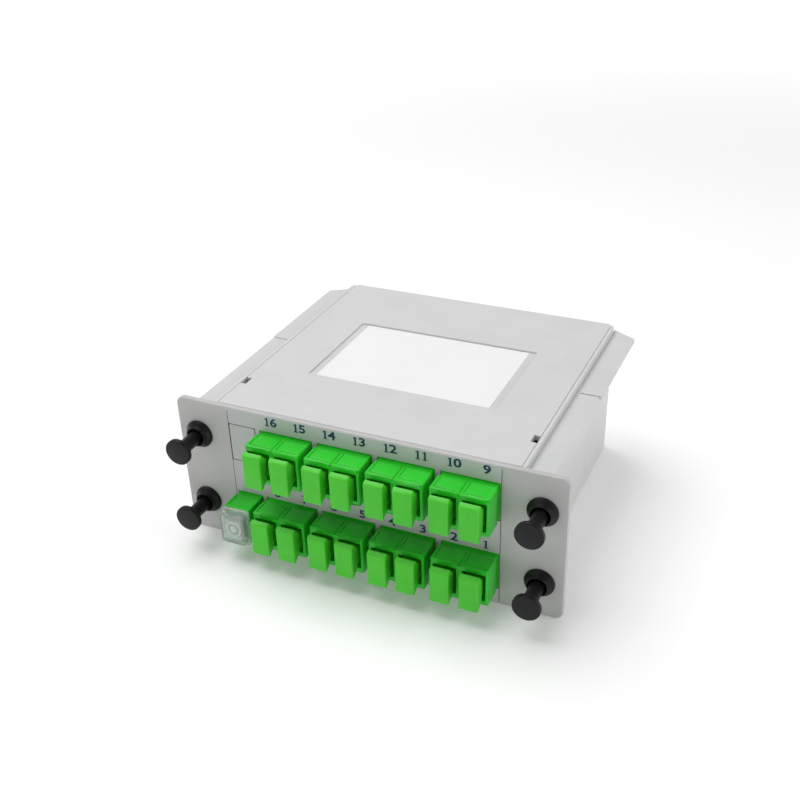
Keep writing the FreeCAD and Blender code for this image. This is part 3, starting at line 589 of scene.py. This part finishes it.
def panel_lines():
    """Painted shade: dark lines at both ends of the sheet, where its raised edges shade the panel, and
    around its blank position, where the gap round the blanking plate is shaded.
    """
    low = SHEET_LOW.z + LINE_END_GAP
    high = SHEET_HIGH.z - LINE_END_GAP
    pieces = []
    for x in (SHEET_LOW.x + LINE_INSET, SHEET_HIGH.x - LINE_INSET):
        pieces.append(ink_bar(x, (low + high) / 2, LINE_WIDTH, high - low))
    corner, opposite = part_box("blanking_plate")
    middle = (corner + opposite) / 2
    wide = BLANK_WIDTH + 2 * LINE_WIDTH
    tall = BLANK_HEIGHT + 2 * LINE_WIDTH
    for side in (-1, 1):
        pieces.append(ink_bar(middle.x + side * wide / 2, middle.z, LINE_WIDTH, tall + LINE_WIDTH))
        pieces.append(ink_bar(middle.x, middle.z + side * tall / 2, wide + LINE_WIDTH, LINE_WIDTH))
    piece = join(pieces, "panel_lines")
    # Painted shade: the lines get the dark colour of shade
    coat(piece.data, sheet_edge_shade)
    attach(piece, "cassette")
    return piece


panel_numbers()
panel_lines()


# Floor, lights and camera

FLOOR_SIZE = 8
GLOW_FROM, GLOW_TO = 0.4, 1.2
GLOW_NEAR, GLOW_FAR = 0.12, 0.74
SKY_FROM, SKY_TO = 0.02, 0.45
SKY_LOW, SKY_HIGH = 1.0, 0.24
LIGHT_AIM = (0, 0.04, 0)
# Name, place, side length and power of each soft light
LIGHTS = [
    ("key", (-0.35, 0.1, 0.9), 0.8, 7.8),
    ("front", (-0.5, -0.62, 0.4), 0.6, 0.62),
    ("side", (0.9, 0.1, 0.5), 0.6, 3.3),
]
SENSOR = 36
LENS = 47.557
SHIFT_X, SHIFT_Y = -0.003, 0.0189
CAMERA_PLACE = Vector((125.55, -238.26, 187.87)) * MM
CAMERA_RIGHT = Vector((0.91175, 0.40985, -0.02720))
CAMERA_DOWN = Vector((0.18567, -0.47030, -0.86276))
CAMERA_AHEAD = Vector((-0.36639, 0.78157, -0.50489))


def floor_glow(nodes, links):
    """Light of the floor: faint near the cassette, brighter where the lamps no longer reach."""
    place = nodes.new("ShaderNodeTexCoord")
    distance = nodes.new("ShaderNodeVectorMath")
    distance.operation = "LENGTH"
    links.new(place.outputs["Object"], distance.inputs[0])
    rise = nodes.new("ShaderNodeMapRange")
    rise.interpolation_type = "SMOOTHSTEP"
    rise.inputs["From Min"].default_value = GLOW_FROM
    rise.inputs["From Max"].default_value = GLOW_TO
    rise.inputs["To Min"].default_value = GLOW_NEAR
    rise.inputs["To Max"].default_value = GLOW_FAR
    links.new(distance.outputs["Value"], rise.inputs["Value"])
    return rise.outputs["Result"]


def studio_floor():
    """A plain pale floor under the cassette."""
    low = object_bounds()[0]
    bpy.ops.mesh.primitive_plane_add(size=FLOOR_SIZE, location=(0, 0, low.z))
    floor = settle(bpy.context.object)
    floor.name = "studio_floor"
    made, nodes, links, shader = new_material("floor_white")
    shader.inputs["Base Color"].default_value = (0.88, 0.88, 0.88, 1)
    shader.inputs["Emission Strength"].default_value = 1.0
    shader.inputs["Roughness"].default_value = 0.9
    links.new(floor_glow(nodes, links), shader.inputs["Emission Color"])
    floor.data.materials.append(made)
    floor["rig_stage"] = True


def soft_light(name, place, size, power):
    """A square soft light that looks at the middle of the cassette."""
    data = bpy.data.lights.new(name, "AREA")
    data.shape = "SQUARE"
    data.size = size
    data.energy = power
    lamp = bpy.data.objects.new(name, data)
    bpy.context.scene.collection.objects.link(lamp)
    lamp.location = place
    lamp.rotation_euler = (Vector(LIGHT_AIM) - Vector(place)).to_track_quat("-Z", "Y").to_euler()


def studio():
    """Pale surroundings, brightest near the ground, with three soft lights."""
    world = bpy.data.worlds.new("studio")
    bpy.context.scene.world = world
    world.use_nodes = True
    nodes, links = world.node_tree.nodes, world.node_tree.links
    nodes["Background"].inputs["Color"].default_value = (1, 1, 1, 1)
    direction = nodes.new("ShaderNodeTexCoord")
    height = nodes.new("ShaderNodeSeparateXYZ")
    sky = nodes.new("ShaderNodeMapRange")
    sky.interpolation_type = "SMOOTHSTEP"
    sky.inputs["From Min"].default_value = SKY_FROM
    sky.inputs["From Max"].default_value = SKY_TO
    sky.inputs["To Min"].default_value = SKY_LOW
    sky.inputs["To Max"].default_value = SKY_HIGH
    links.new(direction.outputs["Generated"], height.inputs["Vector"])
    links.new(height.outputs["Z"], sky.inputs["Value"])
    links.new(sky.outputs["Result"], nodes["Background"].inputs["Strength"])
    for name, place, size, power in LIGHTS:
        soft_light(name, place, size, power)


def photo_camera():
    """The camera at the photo's viewing angle."""
    data = bpy.data.cameras.new("camera")
    data.sensor_width = SENSOR
    data.lens = LENS
    data.shift_x = SHIFT_X
    data.shift_y = SHIFT_Y
    camera = bpy.data.objects.new("camera", data)
    bpy.context.scene.collection.objects.link(camera)
    turn = Matrix((CAMERA_RIGHT, -CAMERA_DOWN, -CAMERA_AHEAD)).transposed().to_4x4()
    camera.matrix_world = Matrix.Translation(CAMERA_PLACE) @ turn
    bpy.context.scene.camera = camera


studio_floor()
studio()
photo_camera()
bpy.context.scene.view_settings.view_transform = "Standard"
